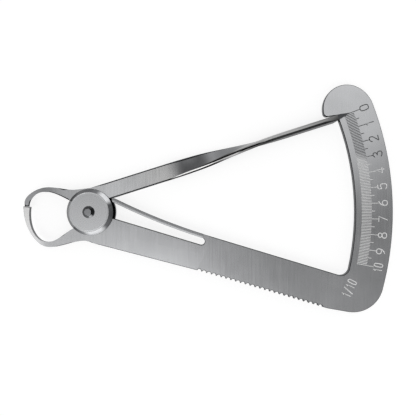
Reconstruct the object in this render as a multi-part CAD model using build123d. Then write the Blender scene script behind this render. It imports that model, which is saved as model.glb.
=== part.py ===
"""Crown gauge: two pivoted steel arms with curved jaws, a pointer and a 0 to 10 mm scale.

Millimetres. The origin is on the pivot axis at the underside of the back disc. +X runs
along the fixed arm to the scale, +Z points out of the face that carries the scale. The
jaws are closed.
"""

from build123d import *
import math
import os

# Pivot stack, from the back to the front
back_disc_thickness = 1.5
blank_thickness = 1.6
front_disc_thickness = 1.6
running_gap = 0.04

# Pivot
rivet_radius = 1.5
rivet_clearance = 0.05
rivet_head_overhang = 0.3
rivet_head_height = 1.0
rivet_head_wall = 0.35
rivet_head_bevel_width = 0.6
back_disc_radius = 7.3
back_disc_chamfer = 0.5
front_disc_radius = 6.95
front_disc_wall = 0.3
front_disc_chamfer_width = 0.95
lap_inset = 0.15
lap_clearance = 0.05

# Fixed arm: its upper edge is parallel to +X, its lower edge bends at the first tooth and at the heel
arm_top = 3.46
arm_bottom = 8.87
arm_bottom_slope = 2.25
tooth_row_slope = 0.5
heel_setback = 14.35
heel_slope = 7.0
heel_blend_radius = 18.0

# Scale: a ring sector about the pivot that ends in a round tab
scale_inner_radius = 79.65
scale_width = 11.2
heel_radius = 9.15
inside_corner_radius = 2.6
tab_radius = 8.97
tab_lead = 0.21
tab_nose_radius = 7.2
tab_nose_angle = 85.0
tab_edge_lean = 9.22
tab_corner_radius = 1.2

# Graduation: one whole mark for each millimetre that the jaws open
marks_per_millimetre = 10
millimetres_shown = 10
mark_inset = 1.85
tenth_mark_length = 3.0
half_mark_length = 4.0
whole_mark_length = 5.1
mark_width = 0.2
mark_depth = 0.06

# Grip teeth in the lower edge of the fixed arm
tooth_count = 26
tooth_pitch = 1.52
tooth_start = 36.4
tooth_cut_radius = 0.6
tooth_depth = 0.55

# Slot and leaf spring in the upper edge of the fixed arm
slot_floor = 0.15
leaf_thickness = 1.2
leaf_root_x = 34.45
leaf_bend_setback = 2.0
leaf_tip_x = 5.7
leaf_contact_gap = 0.12
leaf_socket_gap = 0.05
leaf_pocket_clearance = 0.4

# Pointer arm: a flat strip beside the pivot, twisted on edge before the scale
pointer_angle = 34.42
pointer_offset = 4.42
strip_width = 4.94
blade_width = 4.3
twist_start = 32.5
twist_length = 31.0
twist_angle = 94.0
twist_sections = 9
strip_edge_radius = 0.08
blade_edge_radius = 0.4
pointer_overlap = 1.75
point_length = 2.2
point_offset = 0.33
point_width = 0.1
point_height = 0.35
point_clearance = 0.15
point_slope_length = 8.4
blade_scale_clearance = 0.5
stop_gap = 0.08

# Jaws: the tips meet on one radial line
jaw_line_angle = -168.0
jaw_tip_gap = 0.06
jaw_tip_inner_radius = 18.25
lower_jaw_tip_width = 1.95
upper_jaw_tip_width = 1.65

# Jaw outlines, from the tip to the root
lower_jaw_outer = [
    (-18.35, -7.4), (-15.3, -11.3), (-10.2, -13.8), (-6.4, -12.7), (-2.5, -10.35), (0.8, -8.78)]
lower_jaw_inner = [(-16.6, -7.9), (-14.3, -11.05), (-11.3, -12.5), (-8.9, -12.0), (-6.0, -9.25)]
lower_jaw_root = (-3.3, -6.05)
lower_jaw_end_x = 5.0
upper_jaw_outer = [(-19.75, -2.4), (-18.0, 1.05), (-15.4, 3.0), (-9.5, 4.35), (-6.0, 5.2), (-3.2, 6.4)]
upper_jaw_inner = [(-17.9, -1.5), (-16.4, 1.0), (-13.2, 2.05)]
upper_jaw_root = (-6.4, 1.35)
upper_jaw_end_u = 4.1

# Heights of the faces
plate_bottom = back_disc_thickness
plate_top = plate_bottom + blank_thickness
pointer_bottom = plate_bottom + running_gap
pointer_middle = (pointer_bottom + plate_top) / 2
lap_height = (plate_bottom + plate_top) / 2
front_disc_bottom = plate_top + running_gap
front_disc_top = front_disc_bottom + front_disc_thickness
point_bottom = plate_top + point_clearance

# Pivot radii worked out from the sizes above
rivet_head_radius = rivet_radius + rivet_head_overhang
rivet_head_top_radius = rivet_head_radius - rivet_head_bevel_width
lap_radius = front_disc_radius - lap_inset

# Pointer and scale: the pointer stands at the zero mark when the jaws are closed
scale_outer_radius = scale_inner_radius + scale_width
heel_start = scale_outer_radius - heel_setback
mark_start_radius = scale_inner_radius + mark_inset
pointer_reach = mark_start_radius + pointer_overlap
point_across = pointer_offset + point_offset
pointer_end = math.sqrt(pointer_reach**2 - point_across**2)
blade_end = scale_inner_radius - blade_scale_clearance
blade_lean = math.radians(twist_angle - 90)
blade_half_thickness = (plate_top - pointer_bottom) / 2
blade_half_plan = blade_half_thickness * math.cos(blade_lean) + blade_width / 2 * math.sin(blade_lean)
zero_mark_angle = pointer_angle + math.degrees(math.asin(point_across / pointer_reach))
scale_angle = 2 * math.degrees(math.asin(millimetres_shown / 2 / jaw_tip_inner_radius))
tab_angle = zero_mark_angle + tab_lead
tab_edge_angle = pointer_angle - tab_edge_lean

# Other places worked out from the sizes above
leaf_middle_y = arm_top - leaf_thickness / 2
leaf_bend_x = leaf_root_x + leaf_bend_setback
cut_height = 3 * blank_thickness
far = 2 * scale_outer_radius


def polar(radius: float, degrees: float) -> tuple[float, float]:
    """Return the point at a radius and an angle about the pivot."""
    angle = math.radians(degrees)
    return (radius * math.cos(angle), radius * math.sin(angle))


def arm_point(along: float, across: float) -> tuple[float, float]:
    """Return the point of the plan from its place along and across the pointer arm."""
    angle = math.radians(pointer_angle)
    x = along * math.cos(angle) - across * math.sin(angle)
    y = along * math.sin(angle) + across * math.cos(angle)
    return (x, y)


def lower_edge(x: float) -> float:
    """Return the height of the fixed arm's lower edge at x."""
    y = -arm_bottom + min(x, tooth_start) * math.tan(math.radians(arm_bottom_slope))
    y += max(min(x, heel_start) - tooth_start, 0) * math.tan(math.radians(tooth_row_slope))
    return y + max(x - heel_start, 0) * math.tan(math.radians(heel_slope))


def solid_of(face: Face, low: float, high: float) -> Part:
    """Return the plan face as a solid between two heights."""
    return Pos(0, 0, low) * extrude(face, high - low)


def jaw_face(outer: list, inner: list, start: tuple, tip: list, root: tuple, heading: tuple) -> Face:
    """Return the plan of one jaw.

    Args:
        outer: Points of the outer edge between the tip and the arm.
        inner: Points of the inner edge between the tip and the root.
        start: Where the outer edge runs into the arm.
        tip: The outer and the inner corner of the tip.
        root: Where the inner edge ends, under the discs.
        heading: The direction in which the outer edge runs into the arm.
    """
    outside = Spline([tip[0], *outer, start], tangents=[_away(tip, outer[0]), heading])
    inside = Spline([tip[1], *inner, root])
    edges = [outside, inside, Line(tip[0], tip[1]), Line(root, (0, 0)), Line((0, 0), start)]
    return make_face(edges)


def _away(tip: list, first: tuple) -> tuple[float, float]:
    """Return the direction of the outer edge as it leaves the tip."""
    return (first[0] - tip[0][0], first[1] - tip[0][1])


def jaw_tip(side: float, width: float) -> list:
    """Return the outer and inner corner of a jaw tip, on one side of the closed line."""
    corners = []
    for radius in (jaw_tip_inner_radius + width, jaw_tip_inner_radius):
        shift = side * math.degrees(jaw_tip_gap / 2 / radius)
        corners.append(polar(radius, jaw_line_angle + shift))
    return corners


def corner_near(face: Face, place: tuple) -> Vertex:
    """Return the vertex of a face that is nearest to a place."""
    return face.vertices().sort_by_distance((place[0], place[1], 0))[0]


def scale_face() -> Face:
    """Return the plan of the fixed arm, the scale and its tab as one blank."""
    disc = Circle(scale_outer_radius)
    ring = disc - Circle(scale_inner_radius)
    arm = make_face(Polyline(
        (0, arm_top), (far, arm_top), (far, lower_edge(far)), (heel_start, lower_edge(heel_start)),
        (tooth_start, lower_edge(tooth_start)), (0, lower_edge(0)), close=True))
    wedge = make_face(Polyline(
        (0, 0), polar(far, 0), polar(far, tab_angle), close=True))
    tab_centre = Vector(*polar(scale_outer_radius - tab_radius, tab_angle))
    nose_centre = tab_centre + Vector(*polar(tab_radius - tab_nose_radius, tab_nose_angle))
    crown = make_face(Polyline(
        (0, 0), (0, -far), (far, -far), (far, far), polar(far, tab_nose_angle), close=True))
    tab = Pos(tab_centre) * (Circle(tab_radius) & crown) + Pos(nose_centre) * Circle(tab_nose_radius)
    stop = stop_point()
    ahead = polar(far, tab_edge_angle)
    above = polar(far, tab_edge_angle + 90)
    tab_side = make_face(Polyline(
        (stop[0] - ahead[0], stop[1] - ahead[1]),
        (stop[0] + ahead[0], stop[1] + ahead[1]),
        (stop[0] + ahead[0] + above[0], stop[1] + ahead[1] + above[1]),
        (stop[0] - ahead[0] + above[0], stop[1] - ahead[1] + above[1]), close=True))
    blank = (arm & disc) + (ring & wedge) + (tab & tab_side)
    face = blank.face()
    inside = corner_near(face, (scale_inner_radius, arm_top))
    face = fillet([inside], inside_corner_radius).face()
    heel = corner_near(face, (scale_outer_radius, lower_edge(scale_outer_radius)))
    face = fillet([heel], heel_radius).face()
    bend = corner_near(face, (heel_start, lower_edge(heel_start)))
    face = fillet([bend], heel_blend_radius).face()
    tab_left = (nose_centre.X - tab_nose_radius, nose_centre.Y - tab_nose_radius)
    return fillet([corner_near(face, tab_left)], tab_corner_radius).face()


def stop_point() -> tuple[float, float]:
    """Return the place where the pointer's blade meets the tab when the jaws are closed."""
    shift = (plate_top - pointer_middle) * math.tan(blade_lean)
    half = blade_half_thickness / math.cos(blade_lean)
    return arm_point(blade_end, pointer_offset + half + shift + stop_gap)


def teeth() -> Sketch:
    """Return the round cuts of the grip teeth along the lower edge."""
    cuts = Sketch()
    slope = math.radians(tooth_row_slope)
    for index in range(tooth_count):
        x = tooth_start + index * tooth_pitch * math.cos(slope)
        y = lower_edge(x) - tooth_cut_radius + tooth_depth
        cuts += Pos(x, y) * Circle(tooth_cut_radius)
    return cuts


def marks() -> list:
    """Return the shallow cutters of the graduation, one for each tenth of a millimetre."""
    cutters = []
    spaces = millimetres_shown * marks_per_millimetre
    for index in range(spaces + 1):
        if index % marks_per_millimetre == 0:
            length = whole_mark_length
        elif 2 * index % marks_per_millimetre == 0:
            length = half_mark_length
        else:
            length = tenth_mark_length
        angle = zero_mark_angle - scale_angle * index / spaces
        cutter = Pos(mark_start_radius + length / 2, 0, plate_top) * Box(length, mark_width, 2 * mark_depth)
        cutters.append(Rot(0, 0, angle) * cutter)
    return cutters


def leaf_line_radius() -> float:
    """Return the bend radius that brings the leaf's tip under the pointer arm's edge."""
    angle = math.radians(pointer_angle)
    edge = pointer_offset - strip_width / 2 - leaf_thickness / 2 - leaf_contact_gap
    tip_y = (edge + leaf_tip_x * math.sin(angle)) / math.cos(angle)
    rise = tip_y - leaf_middle_y
    return ((leaf_bend_x - leaf_tip_x) ** 2 + rise**2) / (2 * rise)


def leaf_place(x: float) -> tuple[float, float]:
    """Return the point of the leaf's middle line at x."""
    radius = leaf_line_radius()
    y = leaf_middle_y + radius - math.sqrt(radius**2 - (leaf_bend_x - x) ** 2)
    return (x, y)


def make_scale_plate() -> Part:
    """Return the fixed arm with its jaw, half of the lap joint, the teeth and the scale."""
    slope = math.radians(arm_bottom_slope)
    start = (lower_jaw_end_x, lower_edge(lower_jaw_end_x))
    jaw = jaw_face(
        lower_jaw_outer, lower_jaw_inner, start, jaw_tip(1, lower_jaw_tip_width), lower_jaw_root,
        (math.cos(slope), math.sin(slope)))
    pocket_left = leaf_tip_x - leaf_thickness / 2 - leaf_pocket_clearance
    slot_top = arm_top - leaf_thickness
    slot_radius = (slot_top - slot_floor) / 2
    slot_middle = slot_floor + slot_radius
    root = leaf_place(leaf_root_x)
    left_of_jaw = make_face(Polyline(
        (0, lower_edge(0) - far), (lower_jaw_end_x, lower_edge(lower_jaw_end_x) - far),
        (lower_jaw_end_x, arm_top), (0, arm_top), close=True))
    blank = (scale_face() - left_of_jaw) + jaw
    blank += make_face(Polyline(
        (0, slot_floor), (lower_jaw_end_x, slot_floor), start, (0, 0), close=True))
    above_slot = make_face(Polyline(
        (0, slot_floor), (leaf_root_x, slot_floor), (leaf_root_x, far), (0, far), close=True))
    slot = make_face(Polyline(
        (0, slot_floor), (leaf_root_x, slot_floor), (leaf_root_x, slot_top), (0, slot_top), close=True))
    slot += Pos(leaf_root_x, slot_middle) * Circle(slot_radius)
    socket = Pos(*root) * Circle(leaf_thickness / 2 + leaf_socket_gap)
    blank = blank - above_slot - slot - socket - teeth()
    boss = Circle(lap_radius)
    pocket = make_face(Polyline(
        (pocket_left, slot_floor), (far, slot_floor), (far, far), (pocket_left, far), close=True))
    body = solid_of(blank, plate_bottom, plate_top) + solid_of(boss, plate_bottom, plate_top)
    body -= solid_of(Circle(lap_radius + lap_clearance), lap_height - running_gap / 2, cut_height)
    body -= solid_of(pocket & Circle(lap_radius + lap_clearance), plate_bottom, plate_top)
    body -= solid_of(Circle(rivet_radius), plate_bottom, plate_top)
    return body - marks()


def make_return_leaf() -> Part:
    """Return the leaf spring, round at its tip and at its root in the fixed arm."""
    root = leaf_place(leaf_root_x)
    tip = leaf_place(leaf_tip_x)
    radius = leaf_line_radius()
    centre = (leaf_bend_x, leaf_middle_y + radius)
    half = leaf_thickness / 2
    edges = []
    for distance in (radius + half, radius - half):
        ends = []
        for place in (root, tip):
            share = distance / radius
            x = centre[0] + (place[0] - centre[0]) * share
            y = centre[1] + (place[1] - centre[1]) * share
            ends.append((x, y))
        edges.append((ends, distance))
    (lower, lower_radius), (upper, upper_radius) = edges
    band = make_face([
        RadiusArc(lower[0], lower[1], lower_radius), Line(lower[1], upper[1]),
        RadiusArc(upper[1], upper[0], -upper_radius), Line(upper[0], lower[0])])
    face = band + Pos(*root) * Circle(half) + Pos(*tip) * Circle(half)
    return solid_of(face, pointer_bottom, plate_top)


def strip_section(along: float) -> Face:
    """Return the pointer arm's cross-section at a place in the twist, before the arm is turned."""
    share = (along - twist_start) / twist_length
    turned = math.sin(share * math.pi / 2)
    width = strip_width + (blade_width - strip_width) * turned
    edge_radius = strip_edge_radius + (blade_edge_radius - strip_edge_radius) * turned
    angle = math.radians(twist_angle * turned)
    plane = Plane(
        origin=(along, pointer_offset, pointer_middle),
        x_dir=(0, -math.cos(angle), math.sin(angle)), z_dir=(1, 0, 0))
    return plane * RectangleRounded(width, plate_top - pointer_bottom, edge_radius).face()


def make_pointer_arm() -> Part:
    """Return the moving arm with its jaw, the other half of the lap joint and the pointer."""
    low = pointer_offset - strip_width / 2
    high = pointer_offset + strip_width / 2
    pocket_left = leaf_tip_x - leaf_thickness / 2 - leaf_pocket_clearance
    strip = make_face(Polyline(
        (0, low), (twist_start, low), (twist_start, high), (0, high), close=True))
    strip = Rot(0, 0, pointer_angle) * strip
    angle = math.radians(pointer_angle)
    jaw = jaw_face(
        upper_jaw_outer, upper_jaw_inner, arm_point(upper_jaw_end_u, high), jaw_tip(-1, upper_jaw_tip_width),
        upper_jaw_root, (math.cos(angle), math.sin(angle)))
    relief = make_face(Polyline((pocket_left, -far), (far, -far), (far, low), (pocket_left, low), close=True))
    relief = Rot(0, 0, pointer_angle) * relief
    flat = solid_of(strip + jaw - relief, pointer_bottom, plate_top)
    flat += solid_of(Circle(lap_radius) - relief, pointer_bottom, plate_top)
    flat -= solid_of(Circle(lap_radius + lap_clearance), 0, lap_height + running_gap / 2)
    flat -= solid_of(Circle(rivet_radius + rivet_clearance), 0, cut_height)
    places = [twist_start + twist_length * index / (twist_sections - 1) for index in range(twist_sections)]
    twist = loft([strip_section(place) for place in places])
    twist_end = twist_start + twist_length
    blade = extrude(strip_section(twist_end), pointer_end - twist_end, dir=(1, 0, 0))
    blade = Rot(0, 0, pointer_angle) * (blade & point_plan() & point_side())
    return flat + Rot(0, 0, pointer_angle) * twist + blade


def point_plan() -> Part:
    """Return the plan of the pointer's end as a tall solid that the blade is cut to."""
    start = pointer_end - point_length
    nose = point_width / 2
    outline = [
        (0, pointer_offset - blade_half_plan), (start, pointer_offset - blade_half_plan),
        (pointer_end, point_across - nose), (pointer_end, point_across + nose),
        (start, pointer_offset + blade_half_plan), (0, pointer_offset + blade_half_plan)]
    return solid_of(make_face(Polyline(*outline, close=True)), -far, far)


def point_side() -> Part:
    """Return the side of the pointer's end, which steps up over the scale and slopes down."""
    top = pointer_middle + blade_width
    slope_start = pointer_end - point_slope_length
    blade_top = pointer_middle + blade_width / 2
    outline = [
        (0, -far), (blade_end, -far), (blade_end, point_bottom), (pointer_end, point_bottom),
        (pointer_end, point_bottom + point_height), (slope_start, blade_top),
        (slope_start, top), (0, top)]
    face = Plane.XZ * make_face(Polyline(*outline, close=True))
    return extrude(face, far, both=True)


def make_front_disc() -> Part:
    """Return the front disc, with its steep chamfer."""
    top_radius = front_disc_radius - front_disc_chamfer_width
    profile = Polyline(
        (rivet_radius, front_disc_bottom), (front_disc_radius, front_disc_bottom),
        (front_disc_radius, front_disc_bottom + front_disc_wall), (top_radius, front_disc_top),
        (rivet_radius, front_disc_top), close=True)
    return revolve(Plane.XZ * make_face(profile), Axis.Z)


def make_back_disc() -> Part:
    """Return the back disc, chamfered at its underside."""
    profile = Polyline(
        (rivet_radius, 0), (back_disc_radius - back_disc_chamfer, 0),
        (back_disc_radius, back_disc_chamfer), (back_disc_radius, back_disc_thickness),
        (rivet_radius, back_disc_thickness), close=True)
    return revolve(Plane.XZ * make_face(profile), Axis.Z)


def make_pivot_rivet() -> Part:
    """Return the rivet, flush at the back and headed in front."""
    profile = Polyline(
        (0, 0), (rivet_radius, 0), (rivet_radius, front_disc_top), (rivet_head_radius, front_disc_top),
        (rivet_head_radius, front_disc_top + rivet_head_wall),
        (rivet_head_top_radius, front_disc_top + rivet_head_height),
        (0, front_disc_top + rivet_head_height), close=True)
    return revolve(Plane.XZ * make_face(profile), Axis.Z)


nodes = {
    "scale_plate": make_scale_plate(),
    "return_leaf": make_return_leaf(),
    "pointer_arm": make_pointer_arm(),
    "front_disc": make_front_disc(),
    "back_disc": make_back_disc(),
    "pivot_rivet": make_pivot_rivet(),
}

os.makedirs("parts", exist_ok=True)
for name, node in nodes.items():
    export_step(node, f"parts/{name}.step")
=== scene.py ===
"""A crown gauge in satin stainless steel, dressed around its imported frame.

The frame holds every piece at its real size and place, with the scale's marks cut in. This
script gives each piece its rounded edges and its finish, lays the scale's figures on, and
stands the gauge in a plain studio. Sizes are in millimetres until a mesh is made, and in
metres from there on.
"""
import logging
import math
from dataclasses import dataclass, field
from enum import Enum, IntEnum
from typing import Callable

import bmesh
import bpy
from mathutils import Matrix, Vector


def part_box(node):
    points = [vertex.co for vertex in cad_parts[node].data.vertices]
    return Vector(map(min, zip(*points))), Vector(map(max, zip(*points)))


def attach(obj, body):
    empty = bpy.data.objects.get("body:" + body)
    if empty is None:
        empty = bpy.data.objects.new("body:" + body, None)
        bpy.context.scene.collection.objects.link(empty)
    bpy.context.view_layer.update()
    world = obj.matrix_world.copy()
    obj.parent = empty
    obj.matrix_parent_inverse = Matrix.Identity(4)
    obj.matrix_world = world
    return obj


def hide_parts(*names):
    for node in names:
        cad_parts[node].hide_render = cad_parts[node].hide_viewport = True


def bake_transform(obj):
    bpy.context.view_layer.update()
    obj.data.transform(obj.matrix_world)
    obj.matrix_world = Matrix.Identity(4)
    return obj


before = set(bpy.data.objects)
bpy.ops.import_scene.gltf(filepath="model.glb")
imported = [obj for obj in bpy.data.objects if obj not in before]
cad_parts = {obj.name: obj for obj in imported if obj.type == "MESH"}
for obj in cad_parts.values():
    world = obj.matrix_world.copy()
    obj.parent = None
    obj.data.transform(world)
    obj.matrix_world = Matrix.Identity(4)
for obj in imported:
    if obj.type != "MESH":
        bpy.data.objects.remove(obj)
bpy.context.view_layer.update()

LOG = logging.getLogger("crown_gauge")
MM = 0.001
WELD = 0.002 * MM
FINE_WELD = WELD / 4
SMOOTH_ANGLE = math.radians(28.0)
SAME_FLAT = math.radians(0.6)
PROFILE = 0.5
TONE = "edge_tone"
# The upward part of a face's normal, from a dead level face to an upright one
LEVEL = 0.9985
FLAT = 0.9
SLANTED = 0.5
SLOPING = 0.45
UPRIGHT = 0.1

Point = tuple[float, float]
Shape = bmesh.types.BMesh


class Pattern(Enum):
    """How a steel surface was finished, which sets the run of its fine marks."""

    BRUSHED = "brushed along one direction"
    TURNED = "turned on a lathe, in rings about the pivot"
    FINE = "ground or polished, with no direction"


class Course(Enum):
    """What a finish's change of tone follows."""

    ALONG = "a direction of the plan, in millimetres"
    AROUND = "the angle about the pivot, in degrees"
    WRITTEN = "the tone that the piece's builder writes on its corners"


class Side(IntEnum):
    """The sides of a sheet piece, in the order of its finishes."""

    FACE = 0
    WALL = 1
    RIM = 2
    MARK = 3


class ArmSide(IntEnum):
    """The sides of the moving arm, which begin like those of any sheet piece."""

    FACE = 0
    WALL = 1
    RIM = 2
    UNDERSIDE = 3
    CREST = 4
    POINT = 5


class TurnedSide(IntEnum):
    """The sides of a disc or of the rivet, in the order of its finishes."""

    FACE = 0
    SLOPE = 1
    REST = 2


class Stroke(Enum):
    """How the points of an engraved stroke are joined."""

    STRAIGHT = "straight from point to point"
    ROUND = "one smooth curve"
    LOOP = "one smooth closed curve"


def linear(colour: str) -> tuple[float, float, float, float]:
    """Turn an sRGB hex colour into Blender's linear colour.

    Args:
        colour: Six hex digits after a hash sign.

    Returns:
        Red, green, blue and alpha.
    """
    channels = []
    for start in (1, 3, 5):
        value = int(colour[start:start + 2], 16) / 255
        channels.append(value / 12.92 if value <= 0.04045 else ((value + 0.055) / 1.055) ** 2.4)
    return (*channels, 1.0)


def plan_direction(angle: float) -> Vector:
    """Return the level unit vector at an angle from X, in degrees."""
    turn = math.radians(angle)
    return Vector((math.cos(turn), math.sin(turn), 0.0))


def add_node(tree: bpy.types.NodeTree, kind: str, settings: dict | None = None,
             links: dict | None = None) -> bpy.types.Node:
    """Add a node with its settings and links.

    Args:
        tree: The node tree that gets the node.
        kind: The node's type name, after the word that all of them begin with.
        settings: Values of properties, or of inputs where the key is an input's name or index.
        links: What feeds the inputs named by the keys: a socket, or a node for its first one.

    Returns:
        The new node.
    """
    node = tree.nodes.new("ShaderNode" + kind)
    for key, value in (settings or {}).items():
        if isinstance(key, str) and hasattr(node, key):
            setattr(node, key, value)
        else:
            node.inputs[key].default_value = value
    for key, source in (links or {}).items():
        socket = source.outputs[0] if isinstance(source, bpy.types.Node) else source
        tree.links.new(socket, node.inputs[key])
    return node


def empty_tree(owner: bpy.types.Material | bpy.types.World) -> bpy.types.NodeTree:
    """Clear what a new material or world comes with.

    Args:
        owner: The material or the world.

    Returns:
        Its node tree, with nothing in it.
    """
    owner.use_nodes = True
    owner.node_tree.nodes.clear()
    return owner.node_tree


def add_object(name: str, data: bpy.types.ID) -> bpy.types.Object:
    """Put a mesh, a curve or a camera into the scene.

    Args:
        name: The object's name.
        data: What the object shows.

    Returns:
        The new object.
    """
    item = bpy.data.objects.new(name, data)
    bpy.context.scene.collection.objects.link(item)
    return item


@dataclass(frozen=True)
class ToneCourse:
    """A soft change of colour over a piece, with a colour at each named place."""

    kind: Course
    stops: tuple[tuple[float, str], ...]
    direction: float = 0.0


@dataclass(frozen=True)
class SteelFinish:
    """One finish of stainless steel, from its colour to its finest marks.

    Widths, lengths, the relief and the clouds' size are in millimetres, and the direction is in
    degrees. The two spans are the heights of the marks that give the least and the most.
    """

    name: str
    colour: str | ToneCourse
    roughness: float
    pattern: Pattern = Pattern.FINE
    mark_width: float = 0.3
    mark_length: float = 7.0
    mark_detail: float = 3.0
    mark_crispness: float = 0.6
    direction: float = 0.0
    tone: float = 0.026
    roughness_spread: float = 0.025
    relief: float = 0.0005
    metallic: float = 1.0
    edge_tint: float = 1.0
    mark_share: float = 0.6
    cloud_size: float = 9.0
    cloud_detail: float = 2.0
    tone_span: Point = (0.35, 1.25)
    mark_span: Point = (0.25, 0.75)

    def material(self) -> bpy.types.Material:
        """Make the material of this finish once, and share it from then on.

        Returns:
            The material.
        """
        found = bpy.data.materials.get(self.name)
        if found:
            return found
        material = bpy.data.materials.new(self.name)
        tree = empty_tree(material)
        marks = self._marks(tree)
        clouds = self._clouds(tree)
        both = add_node(
            tree, "Math", {"operation": "MULTIPLY_ADD", 1: self.mark_share},
            {0: marks, 2: clouds})
        level = add_node(
            tree, "MapRange",
            {"From Min": self.tone_span[0], "From Max": self.tone_span[1],
             "To Min": 1 - self.tone, "To Max": 1 + self.tone},
            {"Value": both})
        colour = add_node(tree, "VectorMath", {"operation": "SCALE"}, {"Scale": level})
        if isinstance(self.colour, ToneCourse):
            tree.links.new(self._changing(tree, self.colour).outputs[0], colour.inputs[0])
        else:
            colour.inputs[0].default_value = linear(self.colour)[:3]
        rough = add_node(
            tree, "MapRange",
            {"From Min": self.mark_span[0], "From Max": self.mark_span[1],
             "To Min": self.roughness - self.roughness_spread,
             "To Max": self.roughness + self.roughness_spread},
            {"Value": marks})
        bump = add_node(
            tree, "Bump", {"Strength": 1.0, "Distance": self.relief * MM},
            {"Height": marks})
        tint = (self.edge_tint, self.edge_tint, self.edge_tint, 1.0)
        steel = add_node(
            tree, "BsdfPrincipled", {"Metallic": self.metallic, "Specular Tint": tint},
            {"Base Color": colour, "Roughness": rough, "Normal": bump})
        add_node(tree, "OutputMaterial", links={"Surface": steel})
        return material

    def _marks(self, tree: bpy.types.NodeTree) -> bpy.types.Node:
        """Add the fine marks of the finish.

        Args:
            tree: The material's node tree.

        Returns:
            The node whose first output is the height of the marks, from 0 to 1.
        """
        place = add_node(tree, "TexCoord").outputs["Object"]
        if self.pattern is Pattern.TURNED:
            flat = add_node(
                tree, "VectorMath", {"operation": "MULTIPLY", 1: (1.0, 1.0, 0.0)}, {0: place})
            radius = add_node(tree, "VectorMath", {"operation": "LENGTH"}, {0: flat})
            return add_node(
                tree, "TexNoise",
                {"noise_dimensions": "1D", "Scale": 1 / (self.mark_width * MM),
                 "Detail": self.mark_detail},
                {"W": radius.outputs["Value"]})
        length = self.mark_length if self.pattern is Pattern.BRUSHED else self.mark_width
        stretched = add_node(
            tree, "Mapping",
            {"vector_type": "TEXTURE", "Rotation": (0.0, 0.0, math.radians(self.direction)),
             "Scale": (length * MM, self.mark_width * MM, self.mark_width * MM)},
            {"Vector": place})
        return add_node(
            tree, "TexNoise",
            {"Scale": 1.0, "Detail": self.mark_detail, "Roughness": self.mark_crispness},
            {"Vector": stretched})

    def _changing(self, tree: bpy.types.NodeTree, course: ToneCourse) -> bpy.types.Node:
        """Add the colour that changes over the piece.

        Args:
            tree: The material's node tree.
            course: What the change follows, with its colours.

        Returns:
            The node whose first output is the colour.
        """
        place = add_node(tree, "TexCoord").outputs["Object"]
        unit = 1.0
        if course.kind is Course.WRITTEN:
            value = add_node(tree, "Attribute", {"attribute_name": TONE}).outputs["Fac"]
        elif course.kind is Course.AROUND:
            parts = add_node(tree, "SeparateXYZ", links={0: place})
            value = add_node(
                tree, "Math", {"operation": "ARCTAN2"},
                {0: parts.outputs["Y"], 1: parts.outputs["X"]})
            unit = math.radians(1.0)
        else:
            value = add_node(
                tree, "VectorMath",
                {"operation": "DOT_PRODUCT", 1: plan_direction(course.direction)},
                {0: place}).outputs["Value"]
            unit = MM
        first, last = course.stops[0][0], course.stops[-1][0]
        share = add_node(
            tree, "MapRange", {"From Min": first * unit, "From Max": last * unit},
            {"Value": value})
        ramp = add_node(tree, "ValToRGB", links={"Fac": share})
        ramp.color_ramp.interpolation = "EASE"
        ends = ramp.color_ramp.elements
        for place_on_course, colour in course.stops[1:-1]:
            ends.new((place_on_course - first) / (last - first)).color = linear(colour)
        ends[0].color = linear(course.stops[0][1])
        ends[len(ends) - 1].color = linear(course.stops[-1][1])
        return ramp

    def _clouds(self, tree: bpy.types.NodeTree) -> bpy.types.Node:
        """Add the broad uneven tone that hand polishing leaves.

        Args:
            tree: The material's node tree.

        Returns:
            The node whose first output is the tone, from 0 to 1.
        """
        place = add_node(tree, "TexCoord").outputs["Object"]
        return add_node(
            tree, "TexNoise",
            {"Scale": 1 / (self.cloud_size * MM), "Detail": self.cloud_detail}, {"Vector": place})


# Camera roll against the fixed arm, which the polishing streaks follow too
ROLL = 16.83
STREAKS = ROLL + 90.0
# What two pieces share: the moving arm's heading at rest, in degrees, and the middle of the
# leaf's root and half the leaf's width, in millimetres
ARM_ANGLE = 34.42
LEAF_ROOT: Point = (34.45, 2.871)
LEAF_HALF = 0.6

# Belt-brushed sheet stainless: a soft grey sheen with fine streaks, and a painted highlight that makes
# it brighter towards the jaw.
# The streaks are drawn coarser than real ones, so that they show
SATIN = SteelFinish(
    "satin_stainless",
    ToneCourse(Course.ALONG, ((9.0, "#cdced0"), (13.5, "#fdfdfe")), direction=180.0),
    0.23, Pattern.BRUSHED, mark_width=0.45, mark_length=12.0, direction=STREAKS, tone=0.13,
    relief=0.0012)
# The moving arm's sheet, with painted reflection along it: lighter and darker by turns at the jaw, light
# where it lies flat, and painted shade through the twist.
# Its streaks are drawn coarser too
ARM = SteelFinish(
    "twisted_arm_stainless",
    ToneCourse(Course.ALONG, (
        (-16.0, "#bcbdbf"), (-11.0, "#a8a9ab"), (-5.0, "#cfd0d2"), (12.0, "#f4f5f7"),
        (25.0, "#ffffff"), (31.0, "#828385"), (36.0, "#8a8b8d"), (40.0, "#9a9b9d"),
        (43.0, "#7a7b7d"), (50.0, "#606163"), (56.0, "#4c4d4f")), direction=ARM_ANGLE),
    0.24, Pattern.BRUSHED, mark_width=0.5, mark_length=12.0, direction=STREAKS, tone=0.18)
# The underside of the twisted strip: matt, and darkened with painted shade
DULL = SteelFinish("dull_underside_painted_shade", "#5c5d5f", 0.38, edge_tint=0.8)
# The rounded edge of the twisted strip, in painted reflection: a black line along its crest between two
# light ones
CREST = SteelFinish(
    "crested_edge_stainless", ToneCourse(Course.WRITTEN, ((0.0, "#000000"), (1.0, "#ffffff"))),
    0.30, edge_tint=0.25)
# Sheared and ground edges, without the faces' streaks, and darkened with painted shade
EDGE = SteelFinish("ground_edge_painted_shade", "#505153", 0.26, edge_tint=0.9)
# The burnished rounding between faces and edges, darkened with painted shade into a dark line round each
# piece
RIM = SteelFinish("burnished_rim_painted_shade", "#3c3d3f", 0.22, edge_tint=0.25)
# The pointer's point over the scale, darkened with painted shade
DARK = SteelFinish("point_painted_shade_steel", "#56575a", 0.28)
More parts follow.
